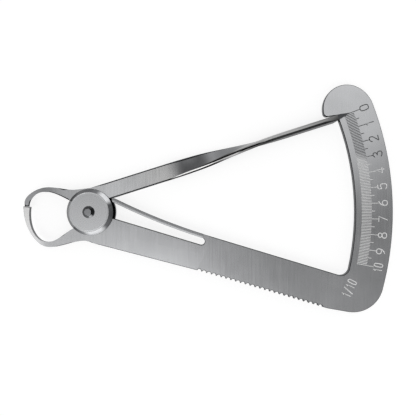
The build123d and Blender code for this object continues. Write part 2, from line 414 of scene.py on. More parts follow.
# The hidden top face of the back disc: painted shade, almost black, so that the gap looks deep
SHADED = SteelFinish("back_disc_painted_shade_steel", "#232426", 0.30)
# Disc faces turned on a lathe: faint rings about the rivet, drawn wider than real ones
TURNED = SteelFinish("turned_disc_stainless", "#d6d7d9", 0.28, Pattern.TURNED, mark_width=0.22)
# Turned chamfer: painted highlights in two bright wedges round it, and painted shade elsewhere
CHAMFER = SteelFinish(
    "turned_chamfer_stainless",
    ToneCourse(Course.AROUND, (
        (-180.0, "#5a5b5d"), (-118.0, "#68696b"), (-93.0, "#a0a1a3"), (-66.0, "#e6e7e9"),
        (-40.0, "#e6e7e9"), (-20.0, "#6c6d6f"), (17.0, "#58595b"), (34.0, "#5c5d5f"),
        (52.0, "#e8e9eb"), (68.0, "#e0e1e3"), (88.0, "#6c6d6f"), (107.0, "#58595b"),
        (180.0, "#5a5b5d"))),
    0.22, Pattern.TURNED, mark_width=0.1)
# Peened rivet end: mid grey, uneven from the hammer
RIVET = SteelFinish("peened_rivet_stainless", "#a2a3a6", 0.22, mark_width=0.5, tone=0.10)
# The collar round the rivet's end: painted shade, almost black, on one side and a painted highlight
# below
COLLAR = SteelFinish(
    "polished_collar_stainless",
    ToneCourse(Course.AROUND, (
        (-180.0, "#606163"), (-75.0, "#606163"), (-55.0, "#a4a5a7"), (-32.0, "#a4a5a7"),
        (-14.0, "#303133"), (50.0, "#303133"), (80.0, "#606163"), (180.0, "#606163"))),
    0.20)
# Spring temper: a light satin strip, with its streaks drawn coarser to show
SPRING = SteelFinish(
    "spring_stainless", "#b6b7b9", 0.28, Pattern.BRUSHED, mark_width=0.16, direction=STREAKS)
# Edges of the spring, sheared and tumbled, made a little darker than its face with painted shade
SPRING_EDGE = SteelFinish("tumbled_spring_edge_painted_shade", "#88898b", 0.30, edge_tint=0.6)
# Engraved lines, etched matt, in painted light and shade: light on the dark heel and dark on the bright
# tab
ENGRAVED = SteelFinish(
    "engraved_stainless",
    ToneCourse(Course.ALONG, ((38.0, "#f4f4f4"), (41.0, "#4c4d4f")), direction=90.0),
    0.60, mark_width=0.2, metallic=0.45)


def cad_copy(node: str) -> Shape:
    """Copy a frame node's mesh, merged, with each flat area as few faces as it allows.

    Args:
        node: The node's name in the frame.

    Returns:
        The copy as a new bmesh, in metres.
    """
    shape = bmesh.new()
    shape.from_mesh(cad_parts[node].data)
    bmesh.ops.remove_doubles(shape, verts=shape.verts, dist=WELD)
    bmesh.ops.dissolve_limit(
        shape, angle_limit=SAME_FLAT, verts=shape.verts, edges=shape.edges)
    return shape


def score(shape: Shape, place: Vector, across: Vector, drop: bool = False,
          weld: float = WELD) -> None:
    """Split the faces of a shape at a plane, to end a rounding there or drop what lies beyond.

    Args:
        shape: The shape.
        place: A point of the plane, in metres.
        across: The plane's normal.
        drop: Whether what lies beyond the plane is dropped.
        weld: How close to the plane a corner counts as on it, in metres.
    """
    bmesh.ops.bisect_plane(
        shape, geom=[*shape.verts, *shape.edges, *shape.faces], dist=weld,
        plane_co=place, plane_no=across, clear_outer=drop)


def mend(shape: Shape) -> None:
    """Merge the doubles of a shape and point its faces outwards."""
    bmesh.ops.remove_doubles(shape, verts=shape.verts, dist=WELD)
    bmesh.ops.recalc_face_normals(shape, faces=shape.faces)


def height_of(face: bmesh.types.BMFace) -> float:
    """Return how tall a face is along Z, in metres."""
    heights = [vertex.co.z for vertex in face.verts]
    return max(heights) - min(heights)


def is_rim(edge: bmesh.types.BMEdge, wall: float) -> bool:
    """Tell the edges between a level face and an upright wall of some height.

    Args:
        edge: The edge.
        wall: The least height of the wall, in millimetres.

    Returns:
        Whether the edge is one of them.
    """
    if len(edge.link_faces) != 2:
        return False
    steep = [abs(face.normal.z) < SLANTED for face in edge.link_faces]
    tall = [height_of(face) >= wall * MM for face in edge.link_faces]
    level = abs(edge.verts[0].co.z - edge.verts[1].co.z) < WELD
    return level and steep[0] != steep[1] and tall[steep.index(True)]


def round_rims(shape: Shape, radius: float, wall: float, segments: int = 3,
               keep: Callable[[Vector], bool] = lambda place: True) -> None:
    """Round the edges between the flat faces and the walls of a sheet.

    Args:
        shape: The sheet.
        radius: The rounding, in millimetres.
        wall: The least height of a wall whose edges are rounded, in millimetres.
        segments: Steps in the rounding.
        keep: Says whether the edge at a place, in millimetres, is rounded.
    """
    rims = []
    for edge in shape.edges:
        middle = (edge.verts[0].co + edge.verts[1].co) / 2
        if is_rim(edge, wall) and keep(middle / MM):
            rims.append(edge)
    bmesh.ops.bevel(
        shape, geom=rims, offset=radius * MM, offset_type="OFFSET", segments=segments,
        profile=PROFILE, affect="EDGES", material=-1, clamp_overlap=False)


def sort_faces(shape: Shape) -> None:
    """Give the faces of a sheet their finish by how steep they are.

    Args:
        shape: The sheet.
    """
    # Walls and roundings take finishes darkened with painted shade
    for face in shape.faces:
        level = abs(face.normal.z)
        if level > LEVEL:
            face.material_index = Side.FACE
        else:
            face.material_index = Side.WALL if level < UPRIGHT else Side.RIM


@dataclass(frozen=True)
class JawThinning:
    """Where and how far a jaw's inner side is filed away towards its underside."""

    throat: Point = (-11.0, -4.6)
    reach: float = 8.2
    end_x: float = -9.0
    run_out: float = 3.0
    depth: float = 0.75

    def apply(self, shape: Shape, bottom: float, top: float) -> None:
        """Thin the jaw of a sheet.

        Args:
            shape: The sheet, in metres.
            bottom: The height of its underside, in millimetres.
            top: The height of its face, in millimetres.
        """
        throat = Vector((*self.throat, 0)) * MM
        for vertex in shape.verts:
            outward = (vertex.co - throat).xy
            if vertex.co.x < self.end_x * MM and outward.length < self.reach * MM:
                below = (top - vertex.co.z / MM) / (top - bottom)
                fade = min((self.end_x - vertex.co.x / MM) / self.run_out, 1.0)
                shift = outward.normalized() * self.depth * below * fade * MM
                vertex.co.x += shift.x
                vertex.co.y += shift.y


def ease_between(value: float, start: float, end: float) -> float:
    """Return a soft step from 0 at the start to 1 at the end."""
    share = min(max((value - start) / (end - start), 0.0), 1.0)
    return share * share * (3 - 2 * share)


@dataclass(frozen=True)
class Fade:
    """A soft growth to a full amount between two places along the arm, in millimetres."""

    amount: float
    start: float
    end: float

    def at(self, along: float) -> float:
        """Return how much has grown at a place along the arm."""
        return self.amount * ease_between(along, self.start, self.end)


def make_piece(name: str, shape: Shape, finishes: list[SteelFinish], body: str,
               nodes: tuple[str, ...] = ()) -> bpy.types.Object:
    """Turn a bmesh into a piece of the gauge.

    Args:
        name: The piece's name.
        shape: Its mesh, in metres and in the frame, with material indices set.
        finishes: The finishes that the indices name.
        body: The frame body that it rides on, or nothing for a piece that rides on none.
        nodes: The frame nodes that it stands for.

    Returns:
        The new object.
    """
    mesh = bpy.data.meshes.new(name)
    for face in shape.faces:
        face.smooth = True
    shape.to_mesh(mesh)
    shape.free()
    mesh.set_sharp_from_angle(angle=SMOOTH_ANGLE)
    for finish in finishes:
        mesh.materials.append(finish.material())
    piece = add_object(name, mesh)
    shading = piece.modifiers.new("shading", "WEIGHTED_NORMAL")
    shading.keep_sharp = True
    if body:
        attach(piece, body)
    if nodes:
        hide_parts(*nodes)
    LOG.info("%s: %d faces", name, len(mesh.polygons))
    return piece


def lathe(profile: list[Point], steps: int = 96) -> Shape:
    """Spin a profile about the pivot, closed along the pivot where it starts there.

    Args:
        profile: Radius and height of each corner, in millimetres, in order.
        steps: Faces round the circle.

    Returns:
        The turned solid, in metres.
    """
    shape = bmesh.new()
    corners = [shape.verts.new((radius * MM, 0, height * MM)) for radius, height in profile]
    edges = [shape.edges.new(pair) for pair in zip(corners, corners[1:])]
    if profile[0][0] > 0:
        edges.append(shape.edges.new((corners[-1], corners[0])))
    bmesh.ops.spin(
        shape, geom=corners + edges, cent=(0, 0, 0), axis=(0, 0, 1), angle=math.tau,
        steps=steps, use_merge=True)
    mend(shape)
    return shape


def round_corners(shape: Shape, radius: float, angle: float = 20.0,
                  segments: int = 2) -> None:
    """Round every corner edge of a turned solid.

    Args:
        shape: The solid.
        radius: The rounding, in millimetres.
        angle: The least turn of an edge that is rounded, in degrees.
        segments: Steps in the rounding.
    """
    sharp = [edge for edge in shape.edges
             if len(edge.link_faces) == 2 and edge.calc_face_angle() > math.radians(angle)]
    bmesh.ops.bevel(
        shape, geom=sharp, offset=radius * MM, offset_type="OFFSET", segments=segments,
        profile=PROFILE, affect="EDGES", material=-1, clamp_overlap=True)


@dataclass
class PivotStack:
    """The two discs and the rivet that hold the arms together."""

    rim_radius: float = 0.06
    groove_radius: float = 5.62
    groove_width: float = 0.12
    groove_depth: float = 0.03
    rivet_radius: float = 1.5
    collar_radius: float = 1.8
    collar_height: float = 0.30
    collar_wall: float = 0.15
    collar_slope: float = 0.2
    rivet_steps: int = 64
    boss_edge_angle: float = 25.0
    boss_level: float = 0.7
    boss_radius: float = 1.28
    boss_top_radius: float = 1.08
    boss_sides: int = 7
    front_wall: float = 0.3
    front_chamfer: float = 1.02
    back_chamfer: float = 0.5

    def build(self) -> None:
        """Make the discs and the rivet from their boxes in the frame."""
        self._front_disc()
        self._back_disc()
        self._rivet()

    def _front_disc(self) -> None:
        """Make the front disc with its steep chamfer and a fine turned groove."""
        low, high = (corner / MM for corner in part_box("front_disc"))
        radius = high.x
        face = radius - self.front_chamfer
        outer = self.groove_radius + self.groove_width / 2
        inner = self.groove_radius - self.groove_width / 2
        shape = lathe([
            (self.rivet_radius, low.z), (radius, low.z), (radius, low.z + self.front_wall),
            (face, high.z), (outer, high.z), (self.groove_radius, high.z - self.groove_depth),
            (inner, high.z), (self.rivet_radius, high.z)])
        round_corners(shape, self.rim_radius)
        # The chamfer takes its painted highlights and shade, and the walls and underside take the rim's
        # painted shade
        for part in shape.faces:
            up = part.normal.z
            if abs(up) > FLAT:
                part.material_index = TurnedSide.FACE
            else:
                part.material_index = TurnedSide.SLOPE if up > SLOPING else TurnedSide.REST
        make_piece(
            "front_washer", shape, [TURNED, CHAMFER, RIM], "frame_arm", ("front_disc",))

    def _back_disc(self) -> None:
        """Make the back disc, chamfered at its underside."""
        low, high = (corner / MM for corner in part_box("back_disc"))
        radius = high.x
        shape = lathe([
            (self.rivet_radius, low.z), (radius - self.back_chamfer, low.z),
            (radius, low.z + self.back_chamfer), (radius, high.z), (self.rivet_radius, high.z)])
        round_corners(shape, self.rim_radius)
        for part in shape.faces:
            up = part.normal.z
            # The hidden top face takes the near-black finish of painted shade
            if up > FLAT:
                part.material_index = TurnedSide.REST
            else:
                part.material_index = TurnedSide.FACE if up < -FLAT else TurnedSide.SLOPE
        make_piece(
            "back_washer", shape, [TURNED, CHAMFER, SHADED], "frame_arm", ("back_disc",))

    def _rivet(self) -> None:
        """Make the rivet: a shank, a round collar and a peened boss with uneven sides."""
        low, high = (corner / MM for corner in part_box("pivot_rivet"))
        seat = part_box("front_disc")[1].z / MM
        foot = seat + self.collar_height
        shape = lathe([
            (0, low.z), (self.rivet_radius, low.z), (self.rivet_radius, seat),
            (self.collar_radius, seat), (self.collar_radius, seat + self.collar_wall),
            (self.collar_radius - self.collar_slope, foot), (0, foot)], steps=self.rivet_steps)
        boss_height = high.z - foot
        bmesh.ops.create_cone(
            shape, cap_ends=True, segments=self.boss_sides, radius1=self.boss_radius * MM,
            radius2=self.boss_top_radius * MM, depth=boss_height * MM,
            matrix=Matrix.Translation((0, 0, (foot + boss_height / 2) * MM)))
        round_corners(shape, self.rim_radius, angle=self.boss_edge_angle)
        for part in shape.faces:
            on_boss = part.calc_center_median().z > foot * MM + WELD
            peened = on_boss and part.normal.z > self.boss_level or part.normal.z < -FLAT
            part.material_index = TurnedSide.FACE if peened else TurnedSide.SLOPE
        make_piece("rivet", shape, [RIVET, COLLAR], "frame_arm", ("pivot_rivet",))


@dataclass
class ScalePlate:
    """The fixed arm with its jaw, its grip teeth and the engraved scale."""

    rim_radius: float = 0.17
    scored_at: Point = (6.0, 37.5)
    mark_depth: float = 0.06
    leaf_root: Point = LEAF_ROOT
    socket_radius: float = 0.65
    leaf_half: float = LEAF_HALF
    leaf_margin: float = 0.02
    snap: float = 0.01
    wall_share: float = 0.9
    mark_span: Point = (1.1, 0.2)
    thinning: JawThinning = JawThinning(depth=0.10)

    def build(self) -> None:
        """Make the plate from the frame's solid, with rounded rims and matt marks."""
        bottom, top = (corner.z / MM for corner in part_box("scale_plate"))
        shape = cad_copy("scale_plate")
        self._close_socket(shape)
        for place in self.scored_at:
            score(shape, Vector((place, 0, 0)) * MM, Vector((1, 0, 0)))
        root = Vector(self.leaf_root)
        round_rims(
            shape, self.rim_radius, self.wall_share * (top - bottom),
            keep=lambda place: (place.xy - root).length > self.leaf_half + self.leaf_margin)
        sort_faces(shape)
        floor, brim = (top - share * self.mark_depth for share in self.mark_span)
        for face in shape.faces:
            sunk = floor < face.calc_center_median().z / MM < brim
            if sunk and face.material_index != Side.RIM:
                face.material_index = Side.MARK
        self.thinning.apply(shape, bottom, top)
        make_piece(
            "fixed_arm_and_scale", shape, [SATIN, EDGE, RIM, ENGRAVED], "frame_arm",
            ("scale_plate",))

    def _close_socket(self, shape: Shape) -> None:
        """Draw the socket's wall in to the leaf, so that plate and leaf look like one sheet.

        Args:
            shape: The plate.
        """
        root = Vector((*self.leaf_root, 0)) * MM
        for vertex in shape.verts:
            reach = (vertex.co - root).xy
            if abs(reach.length / MM - self.socket_radius) < self.snap:
                drawn = reach * (self.leaf_half / self.socket_radius)
                vertex.co.x = root.x + drawn.x
                vertex.co.y = root.y + drawn.y


@dataclass
class LeafSpring:
    """The leaf that is slit out of the fixed arm and pushes the pointer arm back."""

    root: Point = LEAF_ROOT
    tip_x: float = 5.7
    bend_x: float = 36.45
    middle_y: float = 2.86
    half_width: float = LEAF_HALF
    rim_radius: float = 0.13
    steps: int = 48
    end_steps: int = 12
    snap: float = 0.01
    least_wall: float = 1.0
    bend_length: float = 5.0

    def build(self) -> None:
        """Make the leaf as one band with round ends that bends at its root."""
        low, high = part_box("return_leaf")
        tip_y = high.y / MM - self.half_width
        rise = tip_y - self.middle_y
        radius = ((self.bend_x - self.tip_x) ** 2 + rise ** 2) / (2 * rise)
        centre = Vector((self.bend_x, self.middle_y + radius, 0)) * MM
        root = Vector((*self.root, 0)) * MM
        tip = Vector((self.tip_x, tip_y, 0)) * MM
        sweep = (root - centre).xy.angle_signed((tip - centre).xy)
        shape = bmesh.new()
        side = (root - centre).normalized() * self.half_width * MM
        ends = [shape.verts.new(root + side), shape.verts.new(root), shape.verts.new(root - side)]
        line = [shape.edges.new(pair) for pair in zip(ends, ends[1:])]
        bmesh.ops.spin(
            shape, geom=ends + line, cent=centre, axis=(0, 0, 1), angle=-sweep, steps=self.steps)
        for place, turn in ((root, math.pi), (tip, -math.pi)):
            side = (place - centre).normalized() * self.half_width * MM
            self._round_end(shape, place, side, turn)
        mend(shape)
        bmesh.ops.translate(shape, verts=shape.verts, vec=(0, 0, low.z))
        lifted = bmesh.ops.extrude_face_region(shape, geom=list(shape.faces))
        risen = [item for item in lifted["geom"] if isinstance(item, bmesh.types.BMVert)]
        bmesh.ops.translate(shape, verts=risen, vec=(0, 0, high.z - low.z))
        bmesh.ops.recalc_face_normals(shape, faces=shape.faces)
        round_rims(
            shape, self.rim_radius, self.least_wall,
            keep=lambda place: place.x < self.root[0] + self.snap)
        sort_faces(shape)
        leaf = make_piece(
            "leaf_spring", shape, [SPRING, SPRING_EDGE, SPRING_EDGE], "",
            ("return_leaf",))
        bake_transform(leaf)

    def _round_end(self, shape: Shape, place: Vector, side: Vector, turn: float) -> None:
        """Add a half disc at one end of the band.

        Args:
            shape: The band.
            place: The end of its middle line.
            side: From there to the band's edge.
            turn: Half a turn, towards the side away from the band, in radians.
        """
        spoke = [shape.verts.new(place), shape.verts.new(place + side)]
        edge = shape.edges.new(spoke)
        bmesh.ops.spin(
            shape, geom=[*spoke, edge], cent=place, axis=(0, 0, 1), angle=turn,
            steps=self.end_steps)


@dataclass
class PointerArm:
    """The moving arm: a flat strip with its jaw, twisted on edge into the pointer.

    Places are counted along the arm from the pivot, in millimetres. The raised edge's tones are painted
    reflection: the crest's dark line and the rim are placed by their tilt on the raised edge, in
    degrees. A tone of 0 is black and 1 white.
    """

    angle: float = ARM_ANGLE
    offset: float = 4.42
    strip_width: float = 4.94
    blade_width: float = 4.3
    hidden_to: float = 6.6
    join: float = 24.0
    twist_start: float = 26.0
    twist_end: float = 63.7
    twist: float = 94.0
    ease: float = 13.4
    ring_step: float = 0.6
    strip_edge: float = 0.38
    blade_edge: float = 0.70
    edge_grows: Point = (25.0, 33.0)
    corner_points: int = 9
    shares: tuple[float, ...] = (0.9, 0.45, 0.0, -0.45, -0.9)
    least_wall: float = 1.0
    crest_from: float = 25.0
    crest_half: float = 3.0
    crest_blur: float = 11.0
    crest_soft: float = 5.0
    crest_lead: float = 5.0
    crest_turns: Fade = Fade(25.0, 34.0, 64.0)
    line_depth: float = 0.97
    line_starts: Fade = Fade(1.0, 30.0, 40.0)
    line_widens: Fade = Fade(3.0, 36.0, 42.0)
    line_narrows: Fade = Fade(1.0, 48.0, 56.0)
    dark_start: float = 0.06
    dark_ends: float = 4.0
    below_tone: float = 0.80
    below_darkens: Fade = Fade(0.60, 44.0, 57.0)
    rim_tone: float = 0.05
    rim_tilts: Point = (26.0, 38.0)
    rim_lightens: Fade = Fade(0.6, 39.0, 46.0)
    above_tone: float = 0.20
    above_lightens: Fade = Fade(0.34, 43.0, 50.0)
    above_darkens: Fade = Fade(0.30, 64.0, 78.0)
    reach: float = 83.114
    overrun: float = 1.0
    point_offset: float = 0.33
    step_at: float = 79.15
    step_clearance: float = 0.15
    point_height: float = 0.35
    point_lengths: Point = (3.6, 5.0)
    point_half_width: float = 0.05
    slope_length: float = 8.4
    thinning: JawThinning = JawThinning()
    bottom: float = field(init=False)
    top: float = field(init=False)
    half_thickness: float = field(init=False)
    middle: float = field(init=False)
    place: Matrix = field(init=False)

    def build(self) -> None:
        """Make the arm from its flat part in the frame and a strip swept through the twist."""
        low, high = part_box("return_leaf")
        self.bottom = low.z / MM
        self.top = high.z / MM
        self.half_thickness = (self.top - self.bottom) / 2
        self.middle = (self.top + self.bottom) / 2
        self.place = Matrix.Rotation(math.radians(self.angle), 4, "Z")
        shape = self._flat_part()
        strip, point = self._strip()
        self._add(shape, strip)
        seam = [edge for edge in shape.edges if len(edge.link_faces) == 1]
        joined = bmesh.ops.bridge_loops(shape, edges=seam)["faces"]
        bmesh.ops.recalc_face_normals(shape, faces=shape.faces)
        for face in joined:
            face.material_index = ArmSide.FACE if abs(face.normal.z) > LEVEL else ArmSide.RIM
        self._add(shape, point)
        make_piece(
            "pointer_and_jaw", shape, [ARM, EDGE, RIM, DULL, CREST, DARK], "pointer",
            ("pointer_arm",))

    def _add(self, shape: Shape, part: Shape) -> None:
        """Put a part's mesh into a shape.

        Args:
            shape: The shape that takes the part in.
            part: The part, which is freed.
        """
        carrier = bpy.data.meshes.new("carrier")
        part.to_mesh(carrier)
        part.free()
        shape.from_mesh(carrier)
        bpy.data.meshes.remove(carrier)

    def _flat_part(self) -> Shape:
        """Copy the jaw, the lap joint and the flat strip up to the join, and round their rims.

        Returns:
            The flat part, open at the join.
        """
        shape = cad_copy("pointer_arm")
        along = self.place @ Vector((1, 0, 0))
        score(shape, along * self.join * MM, along, drop=True)
        score(shape, along * self.hidden_to * MM, along)
        round_rims(shape, self.strip_edge, self.least_wall, segments=self.corner_points - 1)
        shape.verts.layers.float.new(TONE)
        sort_faces(shape)
        self.thinning.apply(shape, self.bottom, self.top)
        return shape

    def _turned(self, along: float) -> float:
        """Work out how far the twist has come at a place, with a soft start.

        Args:
            along: The place along the arm, in millimetres.

        Returns:
            The share of the whole twist.
        """
        length = self.twist_end - self.twist_start
        share = min(max((along - self.twist_start) / length, 0.0), 1.0)
        soft = self.ease / length
        eased = share * share / (2 * soft) if share < soft else share - soft / 2
        return math.sin(eased / (1 - soft / 2) * math.pi / 2)

    def _ring(self, along: float) -> list[Vector]:
        """Work out the strip's section at a place.

        Args:
            along: The place along the arm, in millimetres.

        Returns:
            The section's corners in order, in metres.
        """
        turned = self._turned(along)
        half_width = (self.strip_width + (self.blade_width - self.strip_width) * turned) / 2
        growth = ease_between(along, *self.edge_grows)
        edge = self.strip_edge + (self.blade_edge - self.strip_edge) * growth
        width = half_width - edge
        height = self.half_thickness - edge
        outline: list[Point] = []
        for quarter, (side, level) in enumerate(((1, 1), (-1, 1), (-1, -1), (1, -1))):
            for step in range(self.corner_points):
                turn = math.radians(90 * (quarter + step / (self.corner_points - 1)))
                outline.append(
                    (side * width + edge * math.cos(turn), level * height + edge * math.sin(turn)))
            if level * side > 0:
                outline.extend(
                    (side * width * share, level * (height + edge)) for share in self.shares)
        spin = math.radians(self.twist * turned)
        ring = []
        for across, up in outline:
            y = self.offset + across * math.cos(spin) + up * math.sin(spin)
            z = self.middle - across * math.sin(spin) + up * math.cos(spin)
            ring.append(self.place @ (Vector((along, y, z)) * MM))
        return ring

    def _strip(self) -> tuple[Shape, Shape]:
        """Sweep the strip through its twist and cut its end to shape.

        Returns:
            The strip, open at the join, and the point that stands over the scale.
        """
        shape = bmesh.new()
        start = self.join + self.ring_step
        rings = math.ceil((self.twist_end - start) / self.ring_step)
        places = [start + (self.twist_end - start) * index / rings for index in range(rings + 1)]
        places.append(self.reach + self.overrun)
        tone = shape.verts.layers.float.new(TONE)
        rings = [[shape.verts.new(point) for point in self._ring(place)] for place in places]
        count = len(rings[0])
        for place, ring in zip(places, rings):
            for index, corner in enumerate(ring):
                corner[tone] = self._edge_tone(index, place)
        for place, here, there in zip(places, rings, rings[1:]):
            for index in range(count):
                after = (index + 1) % count
                face = shape.faces.new((here[index], here[after], there[after], there[index]))
                face.material_index = self._side_at(index, place)
        shape.faces.new(rings[-1])
        bmesh.ops.recalc_face_normals(shape, faces=shape.faces)
        return shape, self._cut_point(shape)

    def _edge_span(self) -> tuple[int, int]:
        """Return the first and last corner of the raised edge in the ring."""
        first = self.corner_points + len(self.shares)
        return first, first + 2 * self.corner_points - 1

    def _edge_tone(self, index: int, along: float) -> float:
        """Work out the painted reflection on the raised edge: how light it is at a corner of the ring.

        Args:
            index: The corner's number round the ring, which starts at the lowered edge.
            along: Its place along the arm, in millimetres.

        Returns:
            The tone, from 0 to 1.
        """
        first, last = self._edge_span()
        if not first <= index <= last:
            return 0.0
        step = index - first
        quarter = step // self.corner_points
        local = 90 * (quarter + step % self.corner_points / (self.corner_points - 1))
        tilt = self.twist * self._turned(along) - local
        crest = self.crest_lead - self.crest_turns.at(along)
        half = self.crest_half * (1 + self.line_widens.at(along) * (1 - self.line_narrows.at(along)))
        line = 1 - ease_between(abs(tilt - crest), half, half + self.crest_blur)
        line *= self.line_starts.at(along)
        below = self.below_tone - self.below_darkens.at(along)
        rim = ease_between(-tilt, *self.rim_tilts) * (1 - self.rim_lightens.at(along))
        below += (self.rim_tone - below) * rim
        above = self.above_tone + self.above_lightens.at(along) - self.above_darkens.at(along)
        side = ease_between(tilt, crest - self.crest_soft, crest + self.crest_soft)
        tone = below + (above - below) * side
        start = 1 - ease_between(along, self.crest_from, self.crest_from + self.dark_ends)
        tone += (self.dark_start - tone) * start
        return tone * (1 - self.line_depth * line)

    def _side_at(self, index: int, along: float) -> ArmSide:
        """Tell which side a face of the strip belongs to.

        Args:
            index: The face's number round the ring, which starts at the lowered edge.
            along: Its place along the arm, in millimetres.

        Returns:
            The side.
        """
        first, last = self._edge_span()
        if first <= index < last and along > self.crest_from:
            return ArmSide.CREST
        if self.corner_points - 1 <= index < first:
            return ArmSide.FACE
        if last <= index < last + len(self.shares) + 1:
            return ArmSide.UNDERSIDE
        return ArmSide.RIM

    def _cut(self, shape: Shape, place: Vector, away: Vector) -> None:
        """Cut a shape with a plane, drop what lies beyond it and close the cut.

        Args:
            shape: The shape.
            place: A point of the plane, along, across and up, in millimetres.
            away: The side that is dropped, in the same directions.
        """
        score(shape, self.place @ (place * MM), self.place @ away, drop=True, weld=FINE_WELD)
        near_join = (self.join + 2 * self.ring_step) * MM
        ahead = self.place @ Vector((1, 0, 0))
        borders = [edge for edge in shape.edges
                   if len(edge.link_faces) == 1 and edge.verts[0].co.dot(ahead) > near_join]
        bmesh.ops.holes_fill(shape, edges=borders, sides=0)

    def _cut_point(self, shape: Shape) -> Shape:
        """Shape the pointer's end: a step up over the scale, a slope and a point in plan.

        Args:
            shape: The strip, which is cut back to the step.

        Returns:
            The point beyond the step.
        """
        scale_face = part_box("scale_plate")[1].z / MM
        lean = math.radians(self.twist - 90)
        half_plan = self.half_thickness * math.cos(lean) + self.blade_width / 2 * math.sin(lean)
        end_height = scale_face + self.step_clearance + self.point_height
        blade_top = self.middle + self.blade_width / 2
        slope = Vector((self.slope_length, 0, end_height - blade_top))
        point = shape.copy()
        self._cut(shape, Vector((self.step_at, self.offset, 0)), Vector((1, 0, 0)))
        self._cut(point, Vector((self.step_at, self.offset, 0)), Vector((-1, 0, 0)))
        self._cut(point, Vector((self.reach, self.offset, 0)), Vector((1, 0, 0)))
        self._cut(point, Vector((0, 0, scale_face + self.step_clearance)), Vector((0, 0, -1)))
        for side, length in zip((1, -1), self.point_lengths):
            across = self.point_offset + side * self.point_half_width
            end = Vector((self.reach, self.offset + across, 0))
            taper = Vector((half_plan - side * across, side * length, 0))
            self._cut(point, end, taper)
            self._cut(shape, end, taper)
        for part in (shape, point):
            self._cut(part, Vector((self.reach, 0, end_height)), Vector((-slope.z, 0, slope.x)))
        # The point takes the finish darkened with painted shade
        for face in point.faces:
            face.material_index = ArmSide.POINT
        return point


# Engraver's single-line figures in a cell one unit wide and one unit high
GLYPHS: dict[str, list[tuple[Stroke, list[Point]]]] = {
    "0": [(Stroke.LOOP, [(0.25, 1.0), (0.75, 1.0), (1.0, 0.85), (1.0, 0.15), (0.75, 0.0), (0.25, 0.0),
                         (0.0, 0.15), (0.0, 0.85)])],
    "1": [(Stroke.STRAIGHT, [(0.2, 0.76), (0.55, 1.0), (0.55, 0.0)])],
    "2": [(Stroke.ROUND, [(0.0, 0.74), (0.1, 1.0), (0.95, 1.08), (1.0, 0.6), (0.35, 0.25), (0.0, 0.0)]),
          (Stroke.STRAIGHT, [(0.0, 0.0), (1.0, 0.0)])],
    "3": [(Stroke.ROUND, [(0.05, 0.85), (0.3, 1.05), (0.95, 1.0), (0.9, 0.55), (0.35, 0.55)]),
          (Stroke.ROUND, [(0.35, 0.55), (1.05, 0.55), (1.1, 0.0), (0.4, -0.05), (0.0, 0.16)])],
    "4": [(Stroke.STRAIGHT, [(0.72, 0.0), (0.72, 1.0), (0.0, 0.3), (1.0, 0.3)])],
    "5": [(Stroke.STRAIGHT, [(0.92, 1.0), (0.18, 1.0), (0.1, 0.56)]),
          (Stroke.ROUND, [(0.1, 0.56), (0.5, 0.72), (1.1, 0.62), (1.05, 0.0), (0.4, -0.05),
                          (0.0, 0.14)])],
    "6": [(Stroke.ROUND, [(0.85, 1.0), (0.35, 0.9), (0.02, 0.5), (0.0, 0.3)]),
          (Stroke.LOOP, [(0.5, 0.62), (0.98, 0.5), (0.98, 0.1), (0.5, 0.0), (0.02, 0.1), (0.02, 0.5)])],
    "7": [(Stroke.STRAIGHT, [(0.0, 1.0), (1.0, 1.0), (0.35, 0.0)])],
    "8": [(Stroke.LOOP, [(0.5, 1.0), (0.92, 0.9), (0.92, 0.62), (0.5, 0.54), (0.08, 0.62), (0.08, 0.9)]),
          (Stroke.LOOP, [(0.5, 0.54), (1.0, 0.44), (1.0, 0.08), (0.5, 0.0), (0.0, 0.08), (0.0, 0.44)])],
    "9": [(Stroke.LOOP, [(0.5, 1.0), (0.98, 0.9), (0.98, 0.5), (0.5, 0.38), (0.02, 0.5), (0.02, 0.9)]),
          (Stroke.ROUND, [(0.98, 0.7), (0.98, 0.5), (0.65, 0.1), (0.15, 0.0)])],
    "/": [(Stroke.STRAIGHT, [(0.0, -0.1), (1.0, 1.1)])],
}


